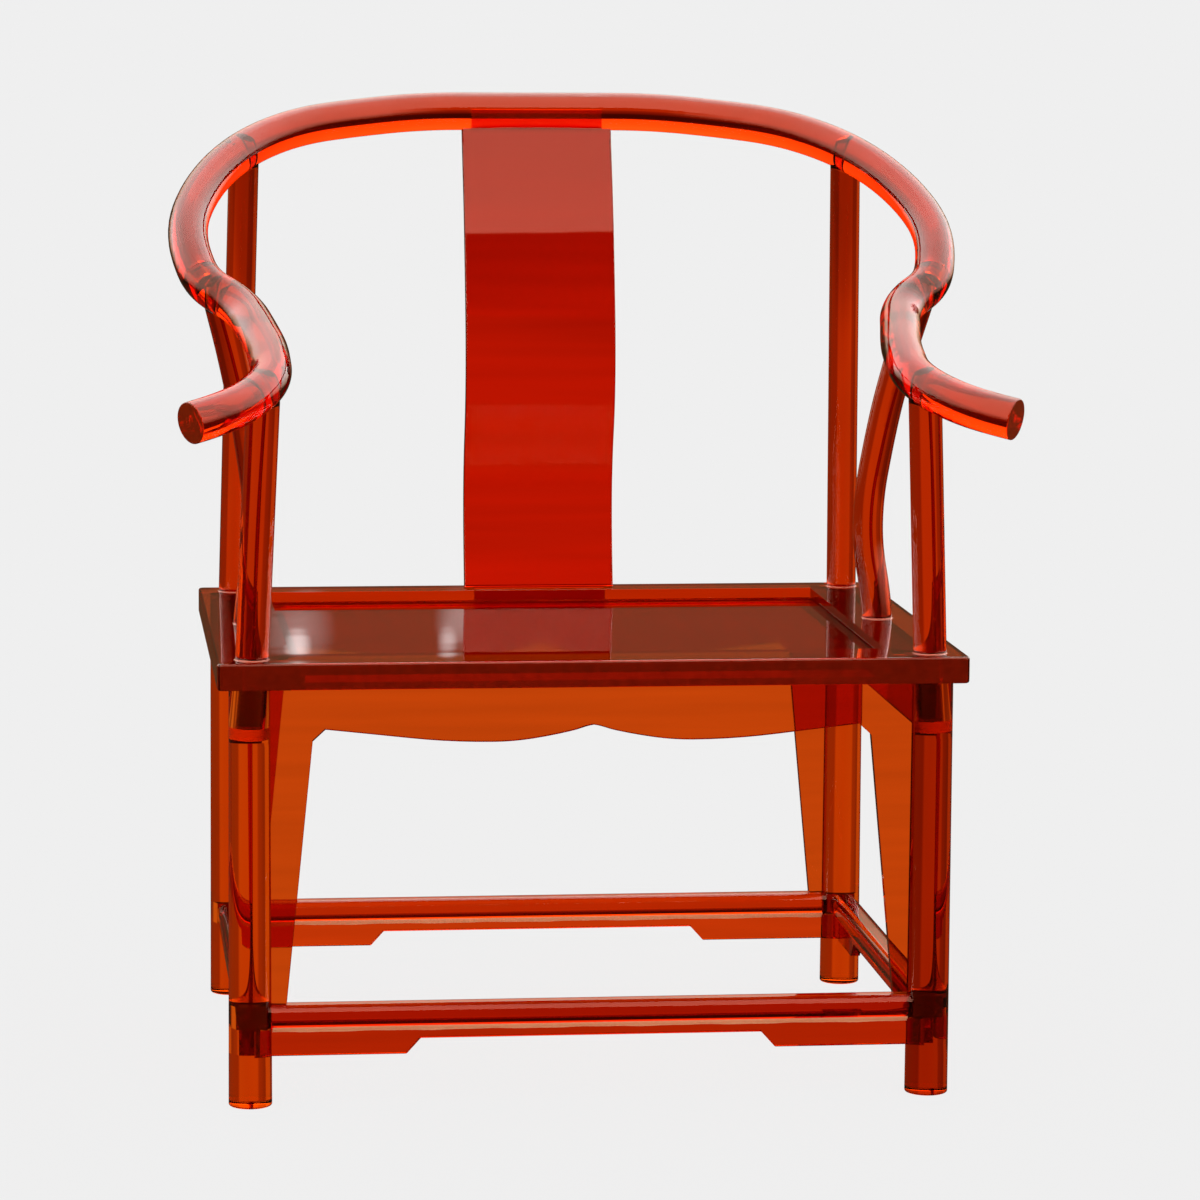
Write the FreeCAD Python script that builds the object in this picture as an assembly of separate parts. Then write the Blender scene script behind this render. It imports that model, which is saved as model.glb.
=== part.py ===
import FreeCAD, Part
import os
from math import sqrt

from FreeCAD import Vector

# Horseshoe back armchair of clear cast resin, in millimetres, +Z up, the sitter facing -Y.
# Pieces are built with Y = 0 at the middle of the seat, then moved so that the origin is on
# the floor under the middle of the whole chair. Left and right are as seen from the front.

# Fits
glue_film = 0.3
fit_gap = 0.2
end_gap = 0.5
overrun = 2.0

# Seat frame, and the panel that lies on its ledge
seat_width = 742.0
seat_depth = 566.0
seat_height = 444.0
seat_thickness = 26.5
seat_corner_round = 6.0
seat_edge_round = 2.5
side_rail_width = 74.0
front_rail_width = 64.0
rear_rail_width = 48.0
panel_recess = 10.0
panel_thickness = 8.0
panel_side_gap = 1.0
panel_ledge_width = 12.0
corner_tenon_width = 11.0
corner_tenon_thickness = 9.0
corner_tenon_length = 30.0
corner_tenon_inset = 3.0

# Legs
leg_top_diameter = 41.0
leg_foot_diameter = 43.0
leg_side_inset = 32.5
leg_end_inset = 28.0
foot_round = 2.0

# Straight posts, which stand over the legs
front_post_diameter = 33.0
front_post_side_inset = 35.0
front_post_end_inset = 31.0
front_post_top_inward = 6.0
front_post_top_forward = 8.0
rear_post_diameter = 32.0
rear_post_side_inset = 37.0
rear_post_end_inset = 31.0
rear_post_top_inward = 6.0
rear_post_top_forward = 44.0
spigot_diameter = 22.0
spigot_into_leg = 42.0
socket_floor_gap = 10.0
post_tenon_diameter = 15.0
post_tenon_past_centre = 7.0

# Curved posts at the sides: places are measured from the foot of the post, and heights are
# shares of the rise from the seat to the rail's centreline over the post
side_post_diameter = 31.5
side_post_side_inset = 42.5
side_post_waist_inward = 10.5
side_post_waist_back = 4.0
side_post_bend_outward = 1.5
side_post_bend_forward = 8.0
side_post_upper_outward = 16.0
side_post_upper_forward = 24.0
side_post_height_shares = (0.29, 0.594, 0.8)
side_post_foot_upright_share = 1.5
side_post_spigot_diameter = 20.0
side_post_spigot_length = 18.0

# Crest rail: one round bar, highest at the back, its ends flared outward
rail_diameter = 41.0
rail_half_width = 385.0
rail_widest_behind_middle = 8.0
rail_back_reach = 312.0
rail_front_reach = 354.0
rail_back_height = 961.0
rail_end_height = 685.0
rail_end_round = 1.0
rail_flare_share = 1.35
rail_dowel_diameter = 14.0
rail_dowel_length = 24.0

# Places along half of the rail's centreline: sideways as a share of the half width, then
# backward as a share of the back reach (or, below zero, of the front reach), then the
# height as a share of the rise from the ends to the back.
rail_back_shares = (
    (0.000, 1.000, 1.000),
    (0.430, 0.943, 0.987),
    (0.735, 0.763, 0.921),
    (0.925, 0.465, 0.777),
    (1.000, 0.000, 0.494),
    (0.976, -0.090, 0.420),
)
rail_arm_shares = (
    (0.880, -0.220, 0.323),
    (0.839, -0.404, 0.246),
    (0.821, -0.560, 0.184),
    (0.828, -0.714, 0.117),
    (0.894, -0.862, 0.056),
    (1.034, -1.000, 0.000),
)

# Back splat: a flat-sided board, bent to an S when seen from the side. Heights are shares of
# the rise from the seat to the rail's centreline.
splat_width = 163.0
splat_thickness = 12.0
splat_edge_round = 1.5
splat_end_inset = 21.0
splat_lumbar_back = 14.0
splat_belly_forward = 9.0
splat_neck_back = 14.0
splat_height_shares = (0.17, 0.476, 0.735)
splat_foot_lean_share = 1.4
splat_tongue_thickness = 8.0
splat_tongue_depth = 14.0
splat_tongue_shoulder = 10.0

# Aprons under the seat: drops are measured down from the underside of the seat
apron_thickness = 10.0
apron_groove_depth = 4.0
apron_cusp_drop = 40.5
apron_wave_drop = 46.5
apron_dip_drop = 56.5
apron_shoulder_drop = 42.5
apron_corner_drop = 54.0
apron_corner_clip = 12.5
apron_arm_width_top = 53.5
apron_arm_width_foot = 14.5
apron_wave_place_share = 0.085
apron_dip_place_share = 0.375
apron_slope_shares = (-0.15, -0.23, 0.0, 0.11)
side_apron_drop = 56.5

# Stretchers near the floor, and the stepped strips under them
stretcher_top = 101.0
stretcher_height = 24.5
stretcher_depth = 28.0
stretcher_round = 9.0
stretcher_tenon_thickness = 11.0
stretcher_tenon_height = 22.0
long_tenon_length = 32.0
short_tenon_length = 13.0
strip_thickness = 10.0
strip_middle_height = 11.5
strip_end_height = 27.0
strip_step_slope = 14.0
strip_end_length = 133.0
side_strip_end_length = 80.0
long_tongue_length = 18.0
short_tongue_length = 11.0

half_width = seat_width / 2
half_depth = seat_depth / 2
seat_underside = seat_height - seat_thickness
panel_top = seat_height - panel_recess
ledge_top = panel_top - panel_thickness - glue_film
leg_x = half_width - leg_side_inset
leg_y = half_depth - leg_end_inset
leg_top_radius = leg_top_diameter / 2
leg_foot_radius = leg_foot_diameter / 2
stretcher_underside = stretcher_top - stretcher_height
rail_radius = rail_diameter / 2
X_AXIS = Vector(1, 0, 0)
Y_AXIS = Vector(0, 1, 0)
Z_AXIS = Vector(0, 0, 1)
ORIGIN = Vector(0, 0, 0)


def box(x0, x1, y0, y1, z0, z1):
    return Part.makeBox(x1 - x0, y1 - y0, z1 - z0, Vector(x0, y0, z0))


def rod(start, end, radius):
    along = end - start
    return Part.makeCylinder(radius, along.Length, start, along)


def mirrored(shape, axis):
    return shape.mirror(ORIGIN, axis)


def both_sides(shape):
    return [shape, mirrored(shape, X_AXIS)]


def extruded(points, along):
    # A closed outline of straight lines, pushed along a vector
    wire = Part.makePolygon(points + [points[0]])
    return Part.Face(wire).extrude(along)


def unit(x, y, z):
    return Vector(x, y, z).normalize()


def leg_radius_at(z):
    return leg_foot_radius + (leg_top_radius - leg_foot_radius) * z / seat_underside


# Smooth paths: between two neighbouring points run two arcs that share a tangent

def path_tangents(points, first, last):
    tangents = [first]
    for before, here, after in zip(points, points[1:], points[2:]):
        back = here - before
        ahead = after - here
        mean = back * (ahead.Length / back.Length) + ahead * (back.Length / ahead.Length)
        tangents.append(mean.normalize())
    tangents.append(last)
    return tangents


def arc_from_corner(start, corner, end):
    # The arc from start to end whose tangents meet at the corner
    middle = (start + end) * 0.5
    half_chord = (end - start).Length / 2
    reach = (corner - start).Length
    if reach - half_chord < reach * 1e-7:
        return Part.LineSegment(start, end).toShape()
    crown = middle + (corner - middle) * (half_chord / (reach + half_chord))
    return Part.Arc(start, crown, end).toShape()


def arc_pair(p0, t0, p1, t1):
    v = p1 - p0
    a = 2 * (1 - t0.dot(t1))
    b = v.dot(t0 + t1)
    if a < 1e-9:
        reach = v.dot(v) / (2 * b)
    else:
        reach = (sqrt(b * b + a * v.dot(v)) - b) / a
    corner0 = p0 + t0 * reach
    corner1 = p1 - t1 * reach
    joint = (corner0 + corner1) * 0.5
    return [arc_from_corner(p0, corner0, joint), arc_from_corner(joint, corner1, p1)]


def path_edges(points, tangents):
    edges = []
    for i in range(len(points) - 1):
        edges += arc_pair(points[i], tangents[i], points[i + 1], tangents[i + 1])
    return edges


def tube(points, tangents, radius, seam_side):
    circle = Part.Circle(points[0], tangents[0], radius)
    circle.XAxis = seam_side - tangents[0] * seam_side.dot(tangents[0])
    ring = Part.Wire([circle.toShape()])
    return Part.Wire(path_edges(points, tangents)).makePipeShell([ring], True, False)


# Crest rail

def rail_point(shares):
    sideways, backward, upward = shares
    reach = rail_back_reach if backward > 0 else rail_front_reach
    height = rail_end_height + (rail_back_height - rail_end_height) * upward
    return Vector(rail_half_width * sideways, rail_widest_behind_middle + reach * backward, height)


rail_points = [rail_point(shares) for shares in rail_back_shares + rail_arm_shares]
last_run = rail_points[-1] - rail_points[-2]
rail_end_direction = unit(last_run.x * rail_flare_share, last_run.y, last_run.z)
rail_tangents = path_tangents(rail_points, X_AXIS, rail_end_direction)
rail_centreline = Part.Wire(path_edges(rail_points, rail_tangents))
rail_tip = rail_points[-1]
scarf = len(rail_back_shares) - 1
scarf_point = rail_points[scarf]
scarf_tangent = rail_tangents[scarf]


def rail_back_tube(radius):
    points = rail_points[:scarf + 1]
    tangents = rail_tangents[:scarf + 1]
    left_points = [Vector(-p.x, p.y, p.z) for p in reversed(points[1:])]
    left_tangents = [Vector(t.x, -t.y, -t.z) for t in reversed(tangents[1:])]
    return tube(left_points + points, left_tangents + tangents, radius, Z_AXIS)


def rail_arm_tube(radius):
    return tube(rail_points[scarf:], rail_tangents[scarf:], radius, Z_AXIS)


def rod_at_scarf(radius, length):
    half = scarf_tangent * (length / 2)
    return rod(scarf_point - half, scarf_point + half, radius)


def rail_centre_over(x, y):
    # The place on the rail's centreline that is nearest to a plumb line
    plumb = Part.makeLine(Vector(x, y, seat_height), Vector(x, y, rail_back_height + rail_diameter))
    return rail_centreline.distToShape(plumb)[1][0][0]


scribes = [rail_back_tube(rail_radius + glue_film), rail_arm_tube(rail_radius + glue_film)]
over_seat = box(-seat_width, seat_width, -seat_depth, seat_depth,
                seat_height + glue_film, rail_back_height)


def between_seat_and_rail(shape):
    # Cut square to the seat at the foot, and hollowed to fit under the rail at the top
    return shape.common(over_seat).cut(scribes)


# Straight posts over the legs. Each maker of a post also gives the holes that take its ends.

def straight_post(diameter, base, top_inward, top_forward):
    top = rail_centre_over(base.x - top_inward, base.y - top_forward)
    along = (top - base).normalize()
    body = between_seat_and_rail(rod(base - along * diameter, top, diameter / 2))
    tenon_start = top - along * rail_diameter
    tenon_end = top + along * post_tenon_past_centre
    spigot_start = base + along * overrun
    spigot_end = base - along * (seat_thickness + spigot_into_leg)
    ends = [
        rod(tenon_start, tenon_end, post_tenon_diameter / 2),
        rod(spigot_start, spigot_end, spigot_diameter / 2),
    ]
    post = body.fuse(ends).removeSplitter()
    mortise = rod(tenon_start, tenon_end + along * end_gap, post_tenon_diameter / 2 + fit_gap)
    socket_end = spigot_end - along * socket_floor_gap
    socket = rod(spigot_start, socket_end, spigot_diameter / 2 + fit_gap)
    return post, mortise, socket


def front_post():
    x = half_width - front_post_side_inset
    base = Vector(x, front_post_end_inset - half_depth, seat_height)
    return straight_post(front_post_diameter, base, front_post_top_inward, front_post_top_forward)


def rear_post():
    x = half_width - rear_post_side_inset
    base = Vector(x, half_depth - rear_post_end_inset, seat_height)
    return straight_post(rear_post_diameter, base, rear_post_top_inward, rear_post_top_forward)


# Curved side posts

def side_post():
    base = Vector(half_width - side_post_side_inset, 0, seat_height)
    ahead_x = base.x + 2 * side_post_upper_outward - side_post_bend_outward
    ahead_y = base.y - 2 * side_post_upper_forward + side_post_bend_forward
    top = rail_centre_over(ahead_x, ahead_y)
    waist_rise, bend_rise, upper_rise = [(top.z - base.z) * s for s in side_post_height_shares]
    waist = base + Vector(-side_post_waist_inward, side_post_waist_back, waist_rise)
    bend = base + Vector(side_post_bend_outward, -side_post_bend_forward, bend_rise)
    upper = base + Vector(side_post_upper_outward, -side_post_upper_forward, upper_rise)
    first_run = waist - base
    first = unit(first_run.x, first_run.y, first_run.z * side_post_foot_upright_share)
    last = (top - upper).normalize()
    points = [base, waist, bend, upper, top]
    tangents = path_tangents(points, first, last)
    shank = rod(base - first * side_post_diameter, base, side_post_diameter / 2)
    body = tube(points, tangents, side_post_diameter / 2, X_AXIS).fuse(shank)
    body = between_seat_and_rail(body)
    tenon_start = top - last * rail_diameter
    tenon_end = top + last * post_tenon_past_centre
    spigot_start = base + Z_AXIS * overrun
    spigot_end = base - Z_AXIS * side_post_spigot_length
    ends = [
        rod(tenon_start, tenon_end, post_tenon_diameter / 2),
        rod(spigot_start, spigot_end, side_post_spigot_diameter / 2),
    ]
    post = body.fuse(ends).removeSplitter()
    mortise = rod(tenon_start, tenon_end + last * end_gap, post_tenon_diameter / 2 + fit_gap)
    socket_end = spigot_end - Z_AXIS * end_gap
    socket = rod(spigot_start, socket_end, side_post_spigot_diameter / 2 + fit_gap)
    return post, mortise, socket


# Back splat

def offset_path(points, tangents, distance):
    return [p + t.cross(X_AXIS) * distance for p, t in zip(points, tangents)]


def splat_top_tongue(top, along, grow, past_centre):
    half_long = splat_width / 2 - splat_tongue_shoulder + grow
    half_thick = splat_tongue_thickness / 2 + grow
    across = X_AXIS * (2 * half_long)
    through = along.cross(X_AXIS) * (2 * half_thick)
    run_in = along * (rail_radius + splat_thickness)
    corner = top - run_in - across * 0.5 - through * 0.5
    profile = [corner, corner + across, corner + across + through, corner + through]
    return extruded(profile, run_in + along * past_centre)


def splat_foot_tongue(y, grow, deeper):
    half_long = splat_width / 2 - splat_tongue_shoulder + grow
    half_thick = splat_tongue_thickness / 2 + grow
    return box(-half_long, half_long, y - half_thick, y + half_thick,
               seat_height - splat_tongue_depth - deeper, seat_height + overrun)


def splat():
    y = half_depth - splat_end_inset
    top = rail_points[0]
    lumbar_z, belly_z, neck_z = [
        seat_height + (top.z - seat_height) * s for s in splat_height_shares
    ]
    points = [
        Vector(0, y, seat_height),
        Vector(0, y + splat_lumbar_back, lumbar_z),
        Vector(0, y - splat_belly_forward, belly_z),
        Vector(0, y + splat_neck_back, neck_z),
        top,
    ]
    first_run = points[1] - points[0]
    first = unit(0, first_run.y * splat_foot_lean_share, first_run.z)
    last = (points[-1] - points[-2]).normalize()
    tangents = path_tangents(points, first, last)
    front = offset_path(points, tangents, -splat_thickness / 2)
    back = offset_path(points, tangents, splat_thickness / 2)
    ends = [Part.makeLine(front[-1], back[-1]), Part.makeLine(back[0], front[0])]
    edges = path_edges(front, tangents) + path_edges(back, tangents) + ends
    side = Part.Face(Part.Wire(Part.__sortEdges__(edges)))
    side.translate(X_AXIS * (-splat_width / 2))
    board = side.extrude(X_AXIS * splat_width)
    long_edges = []
    for edge in board.Edges:
        at_side = abs(abs(edge.CenterOfMass.x) - splat_width / 2) < fit_gap
        if at_side and edge.Length > splat_thickness * 2:
            long_edges.append(edge)
    board = between_seat_and_rail(board.makeFillet(splat_edge_round, long_edges))
    tongues = [splat_foot_tongue(y, 0, 0), splat_top_tongue(top, last, 0, 0)]
    board = board.fuse(tongues).removeSplitter()
    rail_slot = splat_top_tongue(top, last, fit_gap, end_gap)
    return board, rail_slot, splat_foot_tongue(y, fit_gap, end_gap)


# Seat frame: four mitred rails with a ledge inside, which holds the panel

opening_x = half_width - side_rail_width
opening_front = front_rail_width - half_depth
opening_rear = half_depth - rear_rail_width


def seat_frame():
    frame = box(-half_width, half_width, -half_depth, half_depth, seat_underside, seat_height)
    upright = [e for e in frame.Edges if e.BoundBox.ZLength > seat_edge_round]
    frame = frame.makeFillet(seat_corner_round, upright)
    rims = [e for e in frame.Edges if e.BoundBox.ZLength < fit_gap]
    frame = frame.makeFillet(seat_edge_round, rims)
    recess = box(-opening_x, opening_x, opening_front, opening_rear, ledge_top, seat_height + overrun)
    inset = panel_ledge_width
    well = box(inset - opening_x, opening_x - inset, opening_front + inset, opening_rear - inset,
               seat_underside - overrun, seat_height)
    return frame.cut([recess, well])


def seat_panel():
    gap = panel_side_gap
    return box(gap - opening_x, opening_x - gap, opening_front + gap, opening_rear - gap,
               ledge_top + glue_film, panel_top)


def side_rail_region(film):
    # The plan of the right-hand rail, between the mitres, which run from the corners of the
    # opening to the corners of the seat and on past both
    mitre_front = Vector(side_rail_width, -front_rail_width, 0)
    mitre_rear = Vector(side_rail_width, rear_rail_width, 0)
    front = Vector(opening_x, opening_front + film, seat_underside - overrun)
    rear = Vector(opening_x, opening_rear - film, seat_underside - overrun)
    inward = panel_ledge_width * 2 / side_rail_width
    outward = 1 + overrun / rear_rail_width
    points = [
        front - mitre_front * inward,
        rear - mitre_rear * inward,
        rear + mitre_rear * outward,
        front + mitre_front * outward,
    ]
    return extruded(points, Z_AXIS * (seat_thickness + 2 * overrun))


def corner_tenon(gap, deeper):
    # Stands on the rear end of the right-hand rail and enters the rear rail
    x = opening_x + corner_tenon_inset
    middle = seat_underside + seat_thickness / 2
    half = corner_tenon_thickness / 2 + gap
    end = opening_rear + corner_tenon_length + deeper
    return box(x - gap, x + corner_tenon_width + gap, opening_rear - corner_tenon_length, end,
               middle - half, middle + half)


def front_corner_tenon(gap, deeper):
    # The same tenon at the front end of the rail
    tenon = mirrored(corner_tenon(gap, deeper), Y_AXIS)
    tenon.translate(Y_AXIS * (opening_front + opening_rear))
    return tenon


# Legs

def leg():
    height = seat_underside - glue_film
    body = Part.makeCone(leg_foot_radius, leg_radius_at(height), height)
    rim = [e for e in body.Edges if e.BoundBox.ZMax < foot_round and e.Length > leg_foot_diameter]
    body = body.makeFillet(foot_round, rim)
    body.translate(Vector(leg_x, leg_y, 0))
    return body


# Aprons. The framed one is made at the middle of the seat and is then moved to its legs.

def framed_apron():
    # A board with a waved lower edge, and two tapering arms that run down the legs
    top = seat_underside - glue_film
    foot = stretcher_top + glue_film
    groove = leg_x - leg_top_radius + apron_groove_depth
    inner_top = leg_x - leg_top_radius - apron_arm_width_top
    inner_foot = leg_x - leg_radius_at(stretcher_top) - apron_arm_width_foot
    wave = [
        Vector(0, 0, seat_underside - apron_cusp_drop),
        Vector(inner_top * apron_wave_place_share, 0, seat_underside - apron_wave_drop),
        Vector(inner_top * apron_dip_place_share, 0, seat_underside - apron_dip_drop),
        Vector(inner_top, 0, seat_underside - apron_shoulder_drop),
    ]
    corners = [
        wave[-1],
        Vector(inner_top + apron_corner_clip, 0, seat_underside - apron_corner_drop),
        Vector(inner_foot, 0, foot),
        Vector(groove, 0, foot),
        Vector(groove, 0, top),
    ]
    right = path_edges(wave, [unit(1, 0, slope) for slope in apron_slope_shares])
    right += [Part.makeLine(a, b) for a, b in zip(corners, corners[1:])]
    left = [mirrored(edge, X_AXIS) for edge in right]
    across = Part.makeLine(Vector(-groove, 0, top), Vector(groove, 0, top))
    face = Part.Face(Part.Wire(Part.__sortEdges__(right + left + [across])))
    face.translate(Y_AXIS * (-apron_thickness / 2))
    return face.extrude(Y_AXIS * apron_thickness)


def apron_groove():
    # Runs down the inner side of a leg, from the seat to the stretcher
    half_thick = apron_thickness / 2 + fit_gap
    inner = leg_x - leg_foot_radius - overrun
    outer = leg_x - leg_top_radius + apron_groove_depth + end_gap
    return box(inner, outer, -half_thick, half_thick, stretcher_top, seat_underside)


def side_apron():
    half_thick = apron_thickness / 2
    end = leg_y - leg_top_radius + apron_groove_depth
    return box(leg_x - half_thick, leg_x + half_thick, -end, end,
               seat_underside - side_apron_drop, seat_underside - glue_film)


def side_apron_groove():
    half_thick = apron_thickness / 2 + fit_gap
    inner = leg_y - leg_foot_radius - overrun
    outer = leg_y - leg_top_radius + apron_groove_depth + end_gap
    return box(leg_x - half_thick, leg_x + half_thick, inner, outer,
               seat_underside - side_apron_drop - end_gap, seat_underside)


# Stretchers and strips. Each is made lying along X between legs whose middles are a span
# away, and comes with the hole that its right-hand end needs. The side ones are then turned.

def stretcher(span, tenon_length):
    leg_radius = leg_radius_at(stretcher_top)
    half = stretcher_depth / 2
    bar = box(-span, span, -half, half, stretcher_underside, stretcher_top)
    bar = bar.makeFillet(stretcher_round, [e for e in bar.Edges if e.Length > span])
    hug = Part.makeCylinder(leg_radius + glue_film, stretcher_top + overrun, X_AXIS * span)
    bar = bar.cut(both_sides(hug))
    reach = span - leg_radius + tenon_length
    half_thick = stretcher_tenon_thickness / 2
    low = stretcher_underside + (stretcher_height - stretcher_tenon_height) / 2
    high = low + stretcher_tenon_height
    bar = bar.fuse(box(-reach, reach, -half_thick, half_thick, low, high)).removeSplitter()
    hole = box(span - leg_radius - overrun, reach + end_gap, -half_thick - fit_gap,
               half_thick + fit_gap, low - fit_gap, high + fit_gap)
    return bar, hole


def strip(span, end_length, tongue_length):
    leg_radius = leg_radius_at(stretcher_underside)
    top = stretcher_underside - glue_film
    shallow = stretcher_underside - strip_middle_height
    deep = stretcher_underside - strip_end_height
    end = span - leg_radius + tongue_length
    step = span - leg_radius - end_length
    half_thick = strip_thickness / 2
    outline = [
        Vector(-end, -half_thick, top),
        Vector(end, -half_thick, top),
        Vector(end, -half_thick, deep),
        Vector(step, -half_thick, deep),
        Vector(step - strip_step_slope, -half_thick, shallow),
        Vector(strip_step_slope - step, -half_thick, shallow),
        Vector(-step, -half_thick, deep),
        Vector(-end, -half_thick, deep),
    ]
    board = extruded(outline, Y_AXIS * strip_thickness)
    hole = box(span - leg_radius - overrun, end + end_gap, -half_thick - fit_gap,
               half_thick + fit_gap, deep - fit_gap, stretcher_underside)
    return board, hole


def turned(shape):
    # From lying along X to lying along Y, at the right-hand legs
    copy = shape.copy()
    copy.rotate(ORIGIN, Z_AXIS, 90)
    copy.translate(X_AXIS * leg_x)
    return copy


def at_rear(shape):
    copy = shape.copy()
    copy.translate(Y_AXIS * leg_y)
    return copy


# All pieces, by name

pieces = {}

pieces["front_post_right"], front_mortise, front_socket = front_post()
pieces["rear_post_right"], rear_mortise, rear_socket = rear_post()
pieces["side_post_right"], side_mortise, side_socket = side_post()
pieces["back_splat"], splat_rail_slot, splat_seat_slot = splat()

scarf_gap = rod_at_scarf(rail_diameter, glue_film)
dowel_hole = rod_at_scarf(rail_dowel_diameter / 2 + fit_gap, rail_dowel_length + 2 * end_gap)
arm = rail_arm_tube(rail_radius)
rim = [e for e in arm.Edges
       if (e.CenterOfMass - rail_tip).Length < rail_end_round and e.Length > rail_diameter]
arm = arm.makeFillet(rail_end_round, rim)
pieces["crest_rail_arm_right"] = arm.cut([scarf_gap, dowel_hole, front_mortise, side_mortise])
back_cutters = [splat_rail_slot] + both_sides(scarf_gap) + both_sides(dowel_hole)
pieces["crest_rail_back"] = rail_back_tube(rail_radius).cut(back_cutters + both_sides(rear_mortise))
pieces["crest_rail_dowel_right"] = rod_at_scarf(rail_dowel_diameter / 2, rail_dowel_length)

frame = seat_frame()
tenons = [corner_tenon(0, 0), front_corner_tenon(0, 0)]
side_rail = frame.common(side_rail_region(glue_film / 2)).fuse(tenons).removeSplitter()
pieces["seat_side_rail_right"] = side_rail.cut([side_socket, front_socket, rear_socket])
end_rails = frame.cut(both_sides(side_rail_region(-glue_film / 2)))
rear_half = box(-seat_width, seat_width, 0, seat_depth, 0, rail_back_height)
rear_slots = both_sides(corner_tenon(fit_gap, end_gap)) + both_sides(rear_socket)
front_slots = both_sides(front_corner_tenon(fit_gap, end_gap)) + both_sides(front_socket)
pieces["seat_rear_rail"] = end_rails.common(rear_half).cut(rear_slots + [splat_seat_slot])
pieces["seat_front_rail"] = end_rails.cut(rear_half).cut(front_slots)
pieces["seat_panel"] = seat_panel()

long_bar, long_bar_hole = stretcher(leg_x, long_tenon_length)
short_bar, short_bar_hole = stretcher(leg_y, short_tenon_length)
long_strip, long_strip_hole = strip(leg_x, strip_end_length, long_tongue_length)
short_strip, short_strip_hole = strip(leg_y, side_strip_end_length, short_tongue_length)

pieces["rear_apron"] = at_rear(framed_apron())
pieces["rear_stretcher"] = at_rear(long_bar)
pieces["rear_stretcher_strip"] = at_rear(long_strip)
for name in ("apron", "stretcher", "stretcher_strip"):
    pieces["front_" + name] = mirrored(pieces["rear_" + name], Y_AXIS)
pieces["side_apron_right"] = side_apron()
pieces["side_stretcher_right"] = turned(short_bar)
pieces["side_stretcher_strip_right"] = turned(short_strip)

leg_holes = [at_rear(hole) for hole in (apron_groove(), long_bar_hole, long_strip_hole)]
leg_holes += [side_apron_groove(), turned(short_bar_hole), turned(short_strip_hole)]
open_leg = leg().cut(leg_holes)
pieces["leg_rear_right"] = open_leg.cut(rear_socket)
pieces["leg_front_right"] = mirrored(open_leg, Y_AXIS).cut(front_socket)

# The left half repeats the right one
for name in list(pieces):
    if name.endswith("_right"):
        pieces[name.replace("_right", "_left")] = mirrored(pieces[name], X_AXIS)

# The rail's rearmost and foremost places set the middle of the chair
rearmost = rail_points[0].y + rail_radius
foremost = rail_tip.y - rail_radius * sqrt(1 - rail_end_direction.y ** 2)
to_middle = Y_AXIS * (-(rearmost + foremost) / 2)

os.makedirs("parts", exist_ok=True)
for name, shape in sorted(pieces.items()):
    shape.translate(to_middle)
    shape.exportStep("parts/" + name + ".step")
    print(name, "solids", len(shape.Solids), "valid", shape.isValid(), "cm3", round(shape.Volume / 1000, 1))
print("pieces", len(pieces), "moved back by", round(to_middle.y, 2))
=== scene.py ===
import logging
import math
from dataclasses import dataclass, field
from enum import Enum
from typing import ClassVar

import bmesh
import bpy
from mathutils import Matrix, Vector


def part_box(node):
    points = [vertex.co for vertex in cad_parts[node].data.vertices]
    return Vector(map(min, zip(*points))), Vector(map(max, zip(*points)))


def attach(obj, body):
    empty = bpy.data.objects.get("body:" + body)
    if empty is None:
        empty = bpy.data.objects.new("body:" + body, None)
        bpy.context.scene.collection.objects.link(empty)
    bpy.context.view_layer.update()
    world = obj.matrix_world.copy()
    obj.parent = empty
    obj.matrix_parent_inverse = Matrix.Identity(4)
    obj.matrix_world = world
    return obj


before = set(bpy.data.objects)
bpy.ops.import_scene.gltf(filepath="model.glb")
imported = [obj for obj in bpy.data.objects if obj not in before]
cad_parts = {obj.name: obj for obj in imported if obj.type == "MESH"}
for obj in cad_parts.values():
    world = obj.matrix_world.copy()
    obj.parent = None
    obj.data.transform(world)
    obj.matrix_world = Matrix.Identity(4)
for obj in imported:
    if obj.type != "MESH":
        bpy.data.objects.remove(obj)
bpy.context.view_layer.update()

logging.basicConfig(level=logging.INFO, format="%(message)s")
log = logging.getLogger("horseshoe_armchair")

Colour = tuple[float, float, float]
Place = tuple[float, float, float]
Stops = tuple[tuple[float, float], ...]
Outline = tuple[tuple[float, float], ...]
Output = bpy.types.NodeSocket

WHITE: Colour = (1.0, 1.0, 1.0)


def neat(size: float, digits: int = 5) -> float:
    """Returns a size from the frame to a hundredth of a millimetre, or to fewer digits of a metre."""
    return round(size, digits)


def middle_of(node: str) -> Vector:
    """Gives the middle of a piece.

    Args:
        node: The piece's name.

    Returns:
        The middle of its box.
    """
    low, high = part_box(node)
    return (low + high) / 2


# The top of the seat's frame, its half sizes, and how far its middle lies behind the origin
SEAT_TOP = neat(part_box("seat_front_rail")[1].z)
SEAT_HALF_WIDTH = neat(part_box("seat_side_rail_right")[1].x)
SEAT_HALF_DEPTH = neat((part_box("seat_rear_rail")[1].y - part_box("seat_front_rail")[0].y) / 2)
MIDDLE_BACK = neat(middle_of("side_stretcher_right").y)


def paint(colour: Colour, gain: float = 1.0) -> tuple[float, float, float, float]:
    """Returns a colour made lighter or darker by a gain, with full cover."""
    return (*(min(1.0, part * gain) for part in colour), 1.0)


class GrainRun(Enum):
    """The way in which the drawn-out streaks in a casting run, as a squeeze of each axis."""

    UPRIGHT = (1.0, 1.0, 0.06)
    CROSSWISE = (0.05, 1.0, 1.0)
    FRONT_TO_BACK = (1.0, 0.05, 1.0)


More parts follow.
